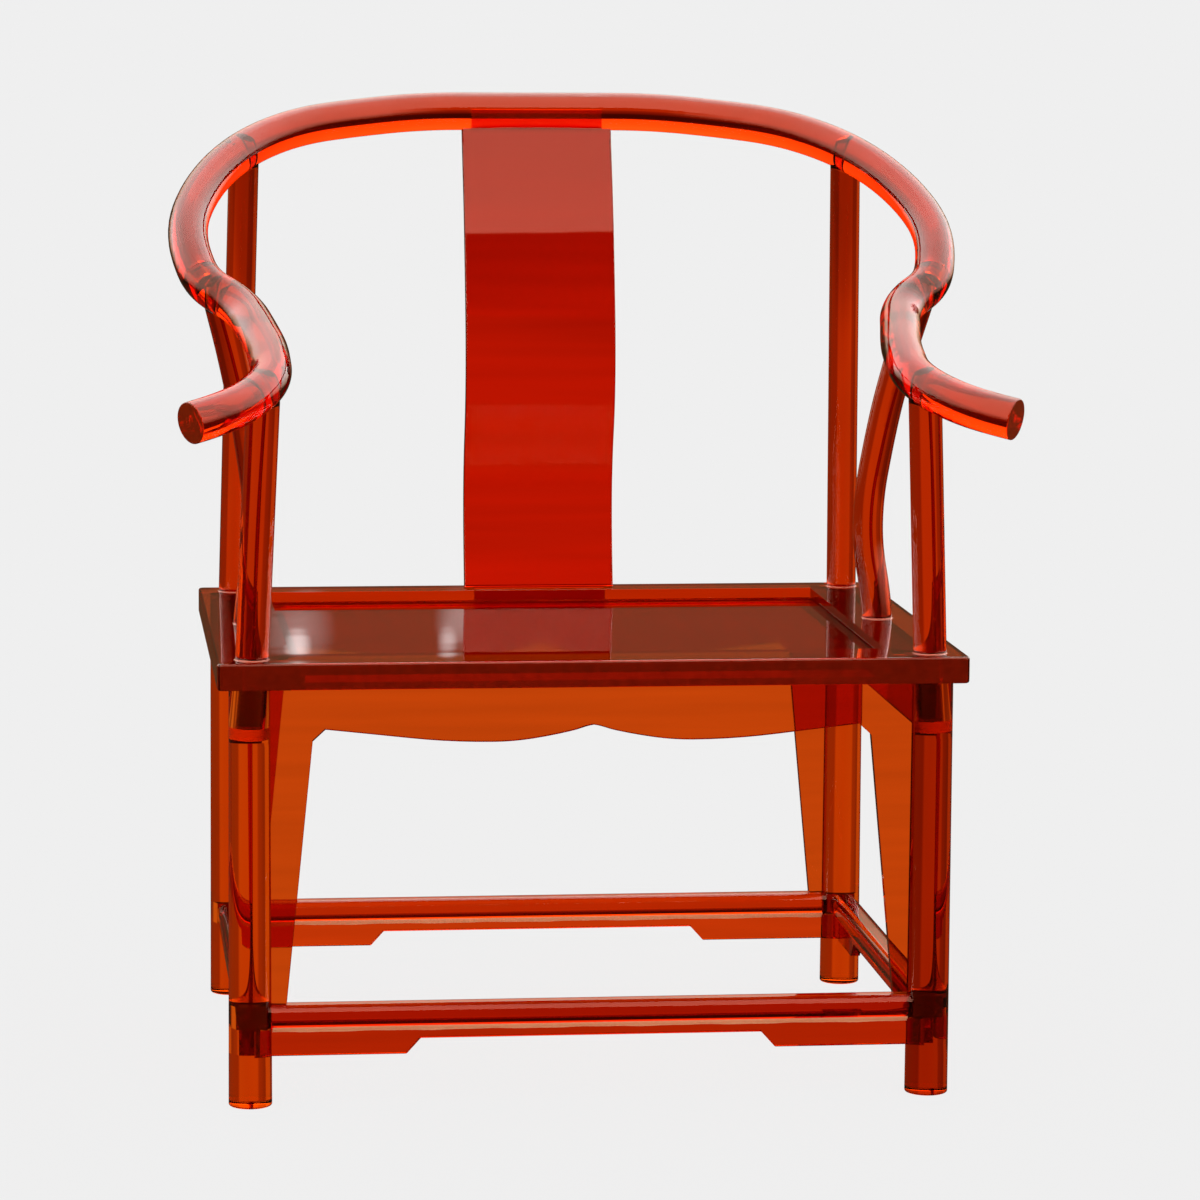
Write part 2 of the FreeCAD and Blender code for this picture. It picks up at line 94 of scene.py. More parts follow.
class NodeSheet:
    """A material's or the world's nodes, with short calls to add and join them."""

    two_colours: ClassVar[slice] = slice(6, 8)
    mixed_colour: ClassVar[int] = 2

    def __init__(self, tree: bpy.types.NodeTree) -> None:
        """Starts from an empty sheet.

        Args:
            tree: The node tree, which is cleared.
        """
        self.tree = tree
        self.tree.nodes.clear()

    def add(self, kind: str, **sockets: object) -> bpy.types.Node:
        """Adds a node.

        Args:
            kind: The node's type, without "ShaderNode".
            sockets: Constants for its inputs, by name with _ for a blank.

        Returns:
            The new node.
        """
        node = self.tree.nodes.new("ShaderNode" + kind)
        for name, value in sockets.items():
            node.inputs[name.replace("_", " ")].default_value = value
        return node

    def join(self, source: object, target: bpy.types.NodeSocket) -> None:
        """Joins an output to an input, or sets the input to a constant.

        Args:
            source: The output or the constant.
            target: The input.
        """
        if isinstance(source, bpy.types.NodeSocket):
            self.tree.links.new(source, target)
        else:
            target.default_value = source

    def feeding(self, target: bpy.types.NodeSocket) -> Output:
        """Returns the output that is joined to an input."""
        return target.links[0].from_socket

    def maths(self, operation: str, *terms: object) -> Output:
        """Adds a sum.

        Args:
            operation: The maths node's operation.
            terms: Numbers or outputs, in the node's order.

        Returns:
            The result.
        """
        node = self.add("Math")
        node.operation = operation
        for place, term in enumerate(terms):
            self.join(term, node.inputs[place])
        return node.outputs[0]

    def split(self, vector: Output) -> tuple[Output, ...]:
        """Takes a vector apart.

        Args:
            vector: The vector.

        Returns:
            Its x, y and z.
        """
        node = self.add("SeparateXYZ")
        self.join(vector, node.inputs["Vector"])
        return tuple(node.outputs[axis] for axis in "XYZ")

    def place(self) -> Output:
        """Returns the place on the piece, in metres."""
        return self.add("TexCoord").outputs["Object"]

    def noise(self, scale: float, detail: float, run: GrainRun | None = None) -> Output:
        """Adds a cloudy pattern that is fixed to the piece.

        Args:
            scale: How many clouds there are to a metre.
            detail: How fine they break up.
            run: The way in which they are drawn out, if they are.

        Returns:
            The pattern's level.
        """
        where = self.place()
        if run:
            stretch = self.add("Mapping", Scale=run.value)
            self.join(where, stretch.inputs["Vector"])
            where = stretch.outputs["Vector"]
        clouds = self.add("TexNoise", Scale=scale, Detail=detail)
        self.join(where, clouds.inputs["Vector"])
        return clouds.outputs["Fac"]

    def blend(self, share: Output, first: object, second: object) -> Output:
        """Mixes two colours.

        Args:
            share: How much of the second colour there is.
            first: The first colour, a constant or an output.
            second: The second colour, a constant or an output.

        Returns:
            The mixed colour.
        """
        node = self.add("Mix")
        node.data_type = "RGBA"
        self.join(share, node.inputs["Factor"])
        for colour, target in zip((first, second), node.inputs[self.two_colours]):
            self.join(colour, target)
        return node.outputs[self.mixed_colour]

    def between(self, value: Output, low: object, high: object, start: float = 0.0,
                end: float = 1.0) -> Output:
        """Goes from one level to another as a value rises.

        Args:
            value: The value.
            low: The level before the start, a number or an output.
            high: The level after the end, a number or an output.
            start: The value at which the change starts.
            end: The value at which it ends.

        Returns:
            The level.
        """
        node = self.add("MapRange", From_Min=start, From_Max=end)
        self.join(value, node.inputs["Value"])
        self.join(low, node.inputs["To Min"])
        self.join(high, node.inputs["To Max"])
        return node.outputs["Result"]

    def about(self, share: Output, middle: float, spread: float) -> Output:
        """Returns a value that goes a share below and above a middle one."""
        return self.between(share, middle * (1 - spread), middle * (1 + spread))

    def bump(self, share: Output, height: float) -> Output:
        """Adds a relief to a skin.

        Args:
            share: The pattern that the relief follows.
            height: Its height in metres.

        Returns:
            The skin's direction.
        """
        node = self.add("Bump", Strength=1.0, Distance=height)
        self.join(share, node.inputs["Height"])
        return node.outputs["Normal"]

    def ramp(self, stops: Stops, source: Output, smooth: bool = False) -> Output:
        """Adds a ramp of grey levels.

        Args:
            stops: Pairs of place and level.
            source: The output that the ramp is read at.
            smooth: Whether the steps between stops are eased.

        Returns:
            The ramp's level.
        """
        node = self.add("ValToRGB")
        node.color_ramp.interpolation = "EASE" if smooth else "LINEAR"
        marks = node.color_ramp.elements
        while len(marks) < len(stops):
            marks.new(0.5)
        for mark, (place, level) in zip(marks, stops):
            mark.position = place
            mark.color = paint((level, level, level))
        self.join(source, node.inputs["Fac"])
        return node.outputs["Color"]

    def glow(self, level: object, colour: object = paint(WHITE)) -> Output:
        """Adds light from the surroundings.

        Args:
            level: Its brightness, a number or an output.
            colour: Its colour, a constant or an output.

        Returns:
            The light.
        """
        node = self.add("Background")
        self.join(colour, node.inputs["Color"])
        self.join(level, node.inputs["Strength"])
        return node.outputs["Background"]


@dataclass(frozen=True)
class SandedOrShadedPlace:
    """A place that is made less clear, so that light is held in its skin: sanded at the arms' ends, and
    darkened with painted shade on the seat frame's outer faces.
    """

    tint: Colour
    clear_share: float
    roughness: float
    speckle_depth: float = 0.45
    speckle_scale: float = 160.0
    speckle_detail: float = 3.0

    def mask(self, sheet: NodeSheet) -> Output:
        """Finds the place.

        Args:
            sheet: The material's nodes.

        Returns:
            A level of 1 at the place and 0 elsewhere.
        """
        raise NotImplementedError

    def dull(self, sheet: NodeSheet, skin: bpy.types.ShaderNode) -> None:
        """Makes the resin less clear at the place.

        Args:
            sheet: The material's nodes.
            skin: The surface shader, with its tint and polish joined.
        """
        here = self.mask(sheet)
        colour, polish = skin.inputs["Base Color"], skin.inputs["Roughness"]
        clear = skin.inputs["Transmission Weight"]
        speckle = sheet.noise(self.speckle_scale, self.speckle_detail)
        speckled = sheet.blend(speckle, paint(self.tint, 1 - self.speckle_depth),
                               paint(self.tint, 1 + self.speckle_depth))
        sheet.join(sheet.blend(here, sheet.feeding(colour), speckled), colour)
        sheet.join(sheet.maths("MULTIPLY_ADD", here, self.roughness, sheet.feeding(polish)), polish)
        sheet.join(sheet.maths("MULTIPLY_ADD", here, self.clear_share - 1.0, 1.0), clear)


@dataclass(frozen=True)
class SawnEnds(SandedOrShadedPlace):
    """The round ends of the two arms."""

    tip: Place = (0.39809, -0.33468, 0.685)
    outward: Place = (0.817628, -0.548928, -0.173672)
    depth: float = 0.0009

    def mask(self, sheet: NodeSheet) -> Output:
        """Finds the skin that lies at the arms' tips.

        Args:
            sheet: The material's nodes.

        Returns:
            A level of 1 on the round ends and 0 elsewhere.
        """
        x, y, z = sheet.split(sheet.place())
        reach = sum(a * b for a, b in zip(self.tip, self.outward))
        along = sheet.maths("MULTIPLY", sheet.maths("ABSOLUTE", x), self.outward[0])
        along = sheet.maths("MULTIPLY_ADD", y, self.outward[1], along)
        along = sheet.maths("MULTIPLY_ADD", z, self.outward[2], along)
        in_front = sheet.maths("LESS_THAN", y, 0.0)
        return sheet.maths("MULTIPLY", sheet.maths("GREATER_THAN", along, reach - self.depth), in_front)


@dataclass(frozen=True)
class ShadedOuterFaces(SandedOrShadedPlace):
    """The front and side faces of the seat's frame, given a dark, less clear skin as painted shade."""

    depth: float = 0.0012

    def mask(self, sheet: NodeSheet) -> Output:
        """Finds the skin that lies on the frame's outline.

        Args:
            sheet: The material's nodes.

        Returns:
            A level of 1 on the outer faces and 0 elsewhere.
        """
        x, y, _ = sheet.split(sheet.place())
        sideways = sheet.maths("SUBTRACT", sheet.maths("ABSOLUTE", x), SEAT_HALF_WIDTH)
        forward = sheet.maths("SUBTRACT", MIDDLE_BACK, y)
        out = sheet.maths("MAXIMUM", sideways, sheet.maths("SUBTRACT", forward, SEAT_HALF_DEPTH))
        return sheet.maths("GREATER_THAN", out, -self.depth)


@dataclass(frozen=True)
class Finish:
    """The look of a cast or glued surface."""

    name: str

    def material(self) -> bpy.types.Material:
        """Makes the material.

        Returns:
            The new material.
        """
        mat = bpy.data.materials.new("dressed_" + self.name)
        mat.use_nodes = True
        sheet = NodeSheet(mat.node_tree)
        self.lay(sheet, sheet.add("OutputMaterial"))
        return mat

    def lay(self, sheet: NodeSheet, out: bpy.types.Node) -> None:
        """Lays the finish's nodes.

        Args:
            sheet: The material's nodes.
            out: The node that they end in.
        """
        raise NotImplementedError


@dataclass(frozen=True)
class ResinFinish(Finish):
    """Polished clear cast resin, tinted through.

    The tint is a volume absorption, so a thick piece is darker than a thin one. The skin has the
    faint waves and streaks that casting and polishing leave. The soak is how strongly the resin
    absorbs red, green and blue, per metre, and its headroom keeps the volume's colour above black.
    """

    soak: Colour
    grain: GrainRun
    skin_tint: Colour = (0.85, 0.40, 0.25)
    sheen_tint: Colour = (1.0, 0.45, 0.30)
    soak_headroom: float = 1.02
    streak_depth: float = 0.22
    streak_scale: float = 70.0
    streak_detail: float = 4.0
    wave_height: float = 0.00025
    wave_scale: float = 9.0
    wave_detail: float = 1.0
    roughness: float = 0.02
    polish_spread: float = 0.5
    refraction: float = 1.49
    # A place made less clear: sanded at the arms' ends, painted shade on the seat frame's outer faces.
    sanded_or_shaded: SandedOrShadedPlace | None = None

    def lay(self, sheet: NodeSheet, out: bpy.types.Node) -> None:
        """Lays the resin's skin and its inside.

        Args:
            sheet: The material's nodes.
            out: The node that they end in.
        """
        density = max(self.soak) * self.soak_headroom
        clear_to = tuple(1.0 - part / density for part in self.soak)
        skin = sheet.add("BsdfPrincipled", Transmission_Weight=1.0, IOR=self.refraction, Metallic=0.0,
                         Specular_Tint=paint(self.sheen_tint))
        inside = sheet.add("VolumeAbsorption", Color=paint(clear_to), Density=density)
        sheet.join(skin.outputs["BSDF"], out.inputs["Surface"])
        sheet.join(inside.outputs["Volume"], out.inputs["Volume"])
        streaks = sheet.noise(self.streak_scale, self.streak_detail, self.grain)
        tint = sheet.blend(streaks, paint(self.skin_tint, 1 - self.streak_depth),
                           paint(self.skin_tint, 1 + self.streak_depth))
        waves = sheet.noise(self.wave_scale, self.wave_detail)
        sheet.join(tint, skin.inputs["Base Color"])
        sheet.join(sheet.about(streaks, self.roughness, self.polish_spread), skin.inputs["Roughness"])
        sheet.join(sheet.bump(waves, self.wave_height), skin.inputs["Normal"])
        if self.sanded_or_shaded:
            self.sanded_or_shaded.dull(sheet, skin)


@dataclass(frozen=True)
class GlueHighlightFinish(Finish):
    """Set resin glue: milky, satin, and cloudy with fine bubbles. Its pale tint is painted light: highlights
    at the posts' feet and along the strips, and light in the legs' sockets.
    """

    tint: Colour
    cloud_tint: Colour
    clear_share: float
    cloud_scale: float = 260.0
    cloud_detail: float = 3.0
    roughness: float = 0.30
    polish_spread: float = 0.4
    ripple_height: float = 0.0002
    refraction: float = 1.45

    def lay(self, sheet: NodeSheet, out: bpy.types.Node) -> None:
        """Lays the glue's skin.

        Args:
            sheet: The material's nodes.
            out: The node that they end in.
        """
        skin = sheet.add("BsdfPrincipled", Transmission_Weight=self.clear_share, IOR=self.refraction,
                         Metallic=0.0)
        clouds = sheet.noise(self.cloud_scale, self.cloud_detail)
        sheet.join(sheet.blend(clouds, paint(self.cloud_tint), paint(self.tint)), skin.inputs["Base Color"])
        sheet.join(sheet.about(clouds, self.roughness, self.polish_spread), skin.inputs["Roughness"])
        sheet.join(sheet.bump(clouds, self.ripple_height), skin.inputs["Normal"])
        sheet.join(skin.outputs["BSDF"], out.inputs["Surface"])


FINISHES: tuple[Finish, ...] = (
    # The rings at the posts' feet and the beads along the strips are pale: painted highlights at those
    # joints.
    GlueHighlightFinish("post_glue_highlight", tint=(1.0, 0.44, 0.28), cloud_tint=(0.75, 0.18, 0.08), clear_share=0.50),
    GlueHighlightFinish("strip_glue", tint=(1.0, 0.44, 0.22), cloud_tint=(0.90, 0.26, 0.11), clear_share=0.20),
    # The socket puddle is bright red and nearly opaque: painted light piped down the leg.
    GlueHighlightFinish("socket_glue", tint=(1.0, 0.26, 0.07), cloud_tint=(1.0, 0.14, 0.03), clear_share=0.05),
    ResinFinish("rail", (10.0, 76.0, 150.0), GrainRun.CROSSWISE, skin_tint=(0.82, 0.42, 0.27),
                sanded_or_shaded=SawnEnds(tint=(1.0, 0.05, 0.006), clear_share=0.80, roughness=0.06)),
    ResinFinish("splat", (10.0, 330.0, 560.0), GrainRun.CROSSWISE, skin_tint=(0.66, 0.40, 0.25)),
    ResinFinish("posts", (12.0, 86.0, 200.0), GrainRun.UPRIGHT, skin_tint=(0.80, 0.40, 0.25)),
    ResinFinish("panel", (8.0, 150.0, 420.0), GrainRun.FRONT_TO_BACK, wave_height=0.00006),
    # The seat frame's front and side faces get a dark, less clear skin: painted shade.
    ResinFinish("seat", (6.0, 62.0, 180.0), GrainRun.CROSSWISE, skin_tint=(0.76, 0.40, 0.25),
                sanded_or_shaded=ShadedOuterFaces(tint=(0.26, 0.009, 0.001), clear_share=0.50, roughness=0.08)),
    ResinFinish("legs", (7.0, 50.0, 150.0), GrainRun.UPRIGHT, skin_tint=(0.87, 0.36, 0.2)),
    # A darker copy of the legs' resin: painted shade for the front right leg.
    ResinFinish("deep_leg", (12.0, 70.0, 180.0), GrainRun.UPRIGHT, skin_tint=(0.68, 0.27, 0.16)),
    ResinFinish("aprons", (12.0, 182.0, 442.0), GrainRun.CROSSWISE, skin_tint=(0.72, 0.40, 0.25)),
    ResinFinish("bars", (12.0, 104.0, 230.0), GrainRun.CROSSWISE, skin_tint=(0.78, 0.42, 0.26)),
    # A darker copy of the bars' resin: painted shade for the front stretcher.
    ResinFinish("shaded_bar", (12.0, 130.0, 240.0), GrainRun.CROSSWISE, skin_tint=(0.58, 0.28, 0.20)),
    ResinFinish("strips", (18.0, 230.0, 480.0), GrainRun.CROSSWISE, skin_tint=(0.78, 0.43, 0.27)),
    # A darker copy of the strips' resin: painted shade for the front strip.
    ResinFinish("deep_strip", (22.0, 300.0, 600.0), GrainRun.CROSSWISE, skin_tint=(0.64, 0.38, 0.25)),
)


def pair(name: str) -> tuple[str, str]:
    """Returns the left and right names of a piece."""
    return name + "_left", name + "_right"


@dataclass
class SubAssembly:
    """A group of the chair's pieces that share a finish and the way their edges are eased.

    Some pieces are given a darker copy of the group's finish: painted shade on those pieces.
    """

    slot: ClassVar[str]
    finish: ClassVar[str]
    names: ClassVar[tuple[str, ...]]
    # Pieces that get a darker copy of the finish, as painted shade.
    shaded_copies: ClassVar[dict[str, str]] = {}

    edge_width: float = 0.0
    edge_angle: float = 40.0
    edge_steps: int = 2
    weld_reach: float = 0.00002
    flat_weight: int = 80

    def build(self) -> list[bpy.types.Object]:
        """Eases the sharp edges of each piece.

        Returns:
            The group's pieces.
        """
        pieces = [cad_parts[name] for name in self.names]
        if self.edge_width:
            for piece in pieces:
                self._ease(piece)
        return pieces

    def _ease(self, piece: bpy.types.Object) -> None:
        """Rounds a piece's sharp edges, as polishing does.

        Args:
            piece: The piece, which keeps its mesh and gets modifiers.
        """
        weld = piece.modifiers.new("joined_corners", "WELD")
        weld.merge_threshold = self.weld_reach
        ease = piece.modifiers.new("eased_edges", "BEVEL")
        ease.width = self.edge_width
        ease.segments = self.edge_steps
        ease.limit_method = "ANGLE"
        ease.angle_limit = math.radians(self.edge_angle)
        ease.use_clamp_overlap = True
        ease.miter_outer = "MITER_ARC"
        even = piece.modifiers.new("even_shading", "WEIGHTED_NORMAL")
        even.keep_sharp = False
        even.weight = self.flat_weight

    def dress(self, finishes: dict[str, bpy.types.Material]) -> None:
        """Gives each piece its finish.

        Args:
            finishes: The materials by finish.
        """
        for name in self.names:
            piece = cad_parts[name]
            piece.data.materials.clear()
            piece.data.materials.append(finishes[self.shaded_copies.get(name, self.finish)])


@dataclass
class CrestRail(SubAssembly):
    """The round rail that sweeps round the back and down into the arms."""

    slot = "rail_resin"
    finish = "rail"
    names = ("crest_rail_back",) + pair("crest_rail_arm") + pair("crest_rail_dowel")


@dataclass
class BackSplat(SubAssembly):
    """The bent board between the seat and the rail."""

    slot = "splat_resin"
    finish = "splat"
    names = ("back_splat",)
    edge_width: float = 0.0012


@dataclass
class Posts(SubAssembly):
    """The straight rear and front posts and the curved side posts."""

    slot = "post_resin"
    finish = "posts"
    names = pair("rear_post") + pair("side_post") + pair("front_post")


@dataclass
class SeatFrame(SubAssembly):
    """The four mitred rails of the seat."""

    slot = "seat_resin"
    finish = "seat"
    names = ("seat_front_rail", "seat_rear_rail") + pair("seat_side_rail")


@dataclass
class SeatPanel(SubAssembly):
    """The thin panel that lies recessed in the seat's frame."""

    slot = "panel_resin"
    finish = "panel"
    names = ("seat_panel",)
    edge_width: float = 0.0008


@dataclass
class Legs(SubAssembly):
    """The four round legs."""

    slot = "leg_resin"
    finish = "legs"
    names = pair("leg_front") + pair("leg_rear")
    # The front right leg gets a darker copy of the legs' finish: painted shade.
    shaded_copies = {"leg_front_right": "deep_leg"}


@dataclass
class Aprons(SubAssembly):
    """The waved aprons whose arms run down the legs."""

    slot = "apron_resin"
    finish = "aprons"
    names = ("front_apron", "rear_apron") + pair("side_apron")
    edge_width: float = 0.0010


@dataclass
class Stretchers(SubAssembly):
    """The low stretchers between the legs."""

    slot = "stretcher_resin"
    finish = "bars"
    names = ("front_stretcher", "rear_stretcher") + pair("side_stretcher")
    # The front stretcher gets a darker copy of the bars' finish: painted shade.
    shaded_copies = {"front_stretcher": "shaded_bar"}
    edge_width: float = 0.0008


@dataclass
class SteppedStrips(SubAssembly):
    """The thin strips under the stretchers, which step up in the middle."""

    slot = "stretcher_resin"
    finish = "strips"
    names = ("front_stretcher_strip", "rear_stretcher_strip") + pair("side_stretcher_strip")
    # The front strip gets a darker copy of the strips' finish: painted shade.
    shaded_copies = {"front_stretcher_strip": "deep_strip"}
    edge_width: float = 0.0008


@dataclass
class GlueHighlightLines:
    """The set glue that shows at the joints; its pale finish paints the highlights and the light there.

    It is a fillet round the foot of each post, a bead along each side of the stepped strips, and a
    puddle at the bottom of each leg's socket. The posts are given by the place and radius of their
    foot, and the sockets by the middle of their mouth and the way they run. The bead's outline is
    by reach from the strip and depth below the corner that it fills, which lies strip_gap above the
    strip. The puddle's outline is by radius and depth in the socket.
    """

    # The glue's finishes are pale, so these pieces carry painted highlights and painted light.
    kinds: ClassVar[dict[str, tuple[str, str]]] = {
        "foot_glue": ("post_glue_highlight", "post_resin"),
        "strip_glue": ("strip_glue", "stretcher_resin"),
        "socket_glue": ("socket_glue", "leg_resin"),
    }

    fillet: float = 0.0011
    bead: Outline = ((0.0, -0.0002), (0.0, 0.0028), (0.0011, 0.0014), (0.0032, 0.0000), (0.0052, -0.0011),
                     (0.0072, -0.0034), (0.0050, -0.0016), (0.0030, -0.0007), (0.0015, -0.0003))
    puddle: Outline = ((0.0, 0.0705), (0.0085, 0.0706), (0.0103, 0.0703), (0.0112, 0.0692), (0.0113, 0.0712),
                       (0.0113, 0.0800), (0.0114, 0.0808), (0.0, 0.0808))
    unevenness: float = 0.18
    long_waves: int = 2
    short_waves: int = 5
    short_wave_share: float = 0.6
    ring_shift: tuple[float, float] = (7.0, 3.0)
    bead_shift: float = 2.0
    bead_repeats: int = 3
    arc_steps: int = 5
    ring_steps: int = 48
    bead_steps: int = 90
    weld_reach: float = 0.000001
    sharp_angle: float = 50.0
    front_post: Place = (0.336, -0.252, 0.0165)
    side_post: Place = (0.3285, 0.0, 0.01575)
    rear_post: Place = (0.334, 0.252, 0.016)
    strip_gap: float = 0.0001
    leg_clearance: float = 0.0001
    front_socket: tuple[Place, Place] = ((0.33591, -0.24076, 0.446), (0.0429, 0.0382, -0.9983))
    rear_socket: tuple[Place, Place] = ((0.33396, 0.26312, 0.446), (0.0217, 0.0985, -0.9949))
    pieces: list[bpy.types.Object] = field(default_factory=list)

    def build(self) -> list[bpy.types.Object]:
        """Builds all the glue.

        Returns:
            The new pieces, which ride on the chair.
        """
        posts = {"front": self.front_post, "side": self.side_post, "rear": self.rear_post}
        sockets = {"front": self.front_socket, "rear": self.rear_socket}
        for side, hand in ((-1, "left"), (1, "right")):
            for post, (x, y, radius) in posts.items():
                self._ring("foot_glue_%s_%s" % (post, hand), side * x, y + MIDDLE_BACK, radius)
            for leg, places in sockets.items():
                mouth, down = (Vector((side * x, y, z)) for x, y, z in places)
                self._puddle("socket_glue_%s_%s" % (leg, hand), mouth, down)
        self._strip_beads()
        return self.pieces

    def dress(self, finishes: dict[str, bpy.types.Material]) -> None:
        """Gives each piece its finish.

        Args:
            finishes: The materials by finish.
        """
        for piece in self.pieces:
            kind = next(kind for kind in self.kinds if piece.name.startswith(kind))
            finish, slot = self.kinds[kind]
            piece.data.materials.append(finishes[finish])

    def _strip_beads(self) -> None:
        """Builds the beads along the strips, from leg to leg."""
        low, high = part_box("leg_front_right")
        leg_reach = neat((high.x - low.x) / 2, digits=4) + self.leg_clearance
        low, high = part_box("side_stretcher_strip_right")
        half_strip = neat((high.x - low.x) / 2)
        top = neat(high.z) + self.strip_gap
        leg_x = neat(middle_of("side_stretcher_strip_right").x)
        leg_y = neat((middle_of("rear_stretcher_strip").y - middle_of("front_stretcher_strip").y) / 2)
        across, along = Vector((1, 0, 0)), Vector((0, 1, 0))
        for name, x, y, run, out, leg in (("front", 0, -leg_y, across, along, leg_x),
                                          ("rear", 0, leg_y, across, along, leg_x),
                                          ("left", -leg_x, 0, along, across, leg_y),
                                          ("right", leg_x, 0, along, across, leg_y)):
            middle = Vector((x, y + MIDDLE_BACK, top))
            for side, face in ((-1, "a"), (1, "b")):
                corner = middle + out * side * half_strip
                self._bead("strip_glue_%s_%s" % (name, face), corner, run, out * side, leg - leg_reach)

    def _hollow(self, size: float) -> list[tuple[float, float]]:
        """Gives the section of a fillet in a square corner.

        Args:
            size: How far it reaches from the corner.

        Returns:
            Points by reach along the one face and the other.
        """
        turns = [math.pi / 2 * step / self.arc_steps for step in range(self.arc_steps + 1)]
        return [(0.0, 0.0)] + [(size * (1 - math.sin(t)), size * (1 - math.cos(t))) for t in turns]

    def _size_at(self, size: float, share: float, start: float) -> float:
        """Makes a fillet a little uneven along its run.

        Args:
            size: Its mean size.
            share: The place along it, in turns.
            start: Where the waves start, in turns.

        Returns:
            The size at that place.
        """
        wave = math.sin(math.tau * (self.long_waves * share + start))
        wave += self.short_wave_share * math.sin(math.tau * (self.short_waves * share + 2 * start))
        return size * (1 + self.unevenness * wave / (1 + self.short_wave_share))

    def _ring(self, name: str, x: float, y: float, radius: float) -> None:
        """Builds the fillet round a post's foot.

        Args:
            name: The piece's name.
            x: The foot's place across.
            y: The foot's place along.
            radius: The post's radius.
        """
        start = x * self.ring_shift[0] + y * self.ring_shift[1]
        sections = []
        for step in range(self.ring_steps):
            share = step / self.ring_steps
            turn = math.tau * share
            away = Vector((math.cos(turn), math.sin(turn), 0))
            corner = Vector((x, y, SEAT_TOP)) + away * radius
            size = self._size_at(self.fillet, share, start)
            sections.append([corner + away * out + Vector((0, 0, up)) for out, up in self._hollow(size)])
        self._swept(name, sections, closed=True)

    def _bead(self, name: str, middle: Vector, run: Vector, out: Vector, half: float) -> None:
        """Builds the bead along one side of a strip.

        Args:
            name: The piece's name.
            middle: The middle of the corner that the bead fills.
            run: The direction along the strip.
            out: The direction away from the strip.
            half: Half the strip's length.
        """
        start = out.x + out.y * self.bead_shift + middle.y
        sections = []
        for step in range(self.bead_steps + 1):
            share = step / self.bead_steps
            corner = middle + run * half * (2 * share - 1)
            grow = self._size_at(1.0, share * self.bead_repeats, start)
            sections.append([corner + out * away - Vector((0, 0, down * (grow if down > 0 else 1.0)))
                             for away, down in self.bead])
        self._swept(name, sections, closed=False)

    def _puddle(self, name: str, mouth: Vector, down: Vector) -> None:
        """Builds the glue that stands in a socket, drawn up where it meets the wall; its bright finish is
        painted light piped down the leg.

        Args:
            name: The piece's name.
            mouth: The middle of the socket's mouth.
            down: The direction in which the socket runs.
        """
        first = down.cross(Vector((0, 1, 0))).normalized()
        second = down.cross(first)
        sections = []
        for step in range(self.ring_steps):
            turn = math.tau * step / self.ring_steps
            away = first * math.cos(turn) + second * math.sin(turn)
            sections.append([mouth + away * out + down * deep for out, deep in self.puddle])
        self._swept(name, sections, closed=True)

    def _swept(self, name: str, sections: list[list[Vector]], closed: bool) -> None:
        """Joins sections into a closed skin and adds it as a piece.

        Args:
            name: The piece's name.
            sections: The points of each section, in order.
            closed: Whether the last section joins the first.
        """
        skin = bmesh.new()
        rows = [[skin.verts.new(point) for point in section] for section in sections]
        nexts = rows[1:] + rows[:1] if closed else rows[1:]
        for row, after in zip(rows, nexts):
            for k in range(len(row)):
                m = (k + 1) % len(row)
                skin.faces.new((row[k], row[m], after[m], after[k]))
        if not closed:
            skin.faces.new(rows[0])
            skin.faces.new(rows[-1])
        bmesh.ops.remove_doubles(skin, verts=skin.verts, dist=self.weld_reach)
        bmesh.ops.recalc_face_normals(skin, faces=skin.faces)
        mesh = bpy.data.meshes.new(name)
        skin.to_mesh(mesh)
        skin.free()
        mesh.shade_smooth()
        mesh.set_sharp_from_angle(angle=math.radians(self.sharp_angle))
        piece = bpy.data.objects.new(name, mesh)
        bpy.context.scene.collection.objects.link(piece)
        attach(piece, "root")
        self.pieces.append(piece)


@dataclass(frozen=True)
class SoftLight:
    """A small soft light far off in the studio.

    Its turn from straight behind, its rise and its half sizes are in degrees, and its level is its
    brightness in the middle.
    """

    turn: float
    rise: float
    half_width: float
    half_height: float
    level: float
    fade: float = 1.5

    def seen(self, sheet: NodeSheet, ray: Output) -> Output:
        """Adds the light.

        Args:
            sheet: The world's nodes.
            ray: The direction looked in.

        Returns:
            The light's level in that direction.
        """
        turn, rise = math.radians(self.turn), math.radians(self.rise)
        side = (math.cos(turn), -math.sin(turn), 0.0)
        up = (-math.sin(turn) * math.sin(rise), -math.cos(turn) * math.sin(rise), math.cos(rise))
        squares = []
        for axis, half in ((side, self.half_width), (up, self.half_height)):
            dot = sheet.add("VectorMath")
            dot.operation = "DOT_PRODUCT"
            dot.inputs[1].default_value = tuple(part / math.radians(half) for part in axis)
            sheet.join(ray, dot.inputs[0])
            squares.append(sheet.maths("POWER", sheet.maths("ABSOLUTE", dot.outputs["Value"]), 2.0))
        _, ahead, _ = sheet.split(ray)
        shine = sheet.maths("MAXIMUM", sheet.maths("SUBTRACT", 1.0, sheet.maths("ADD", *squares)), 0.0)
        shine = sheet.maths("MULTIPLY", shine, sheet.maths("GREATER_THAN", ahead, 0.0))
        return sheet.maths("MULTIPLY", sheet.maths("POWER", shine, self.fade), self.level)


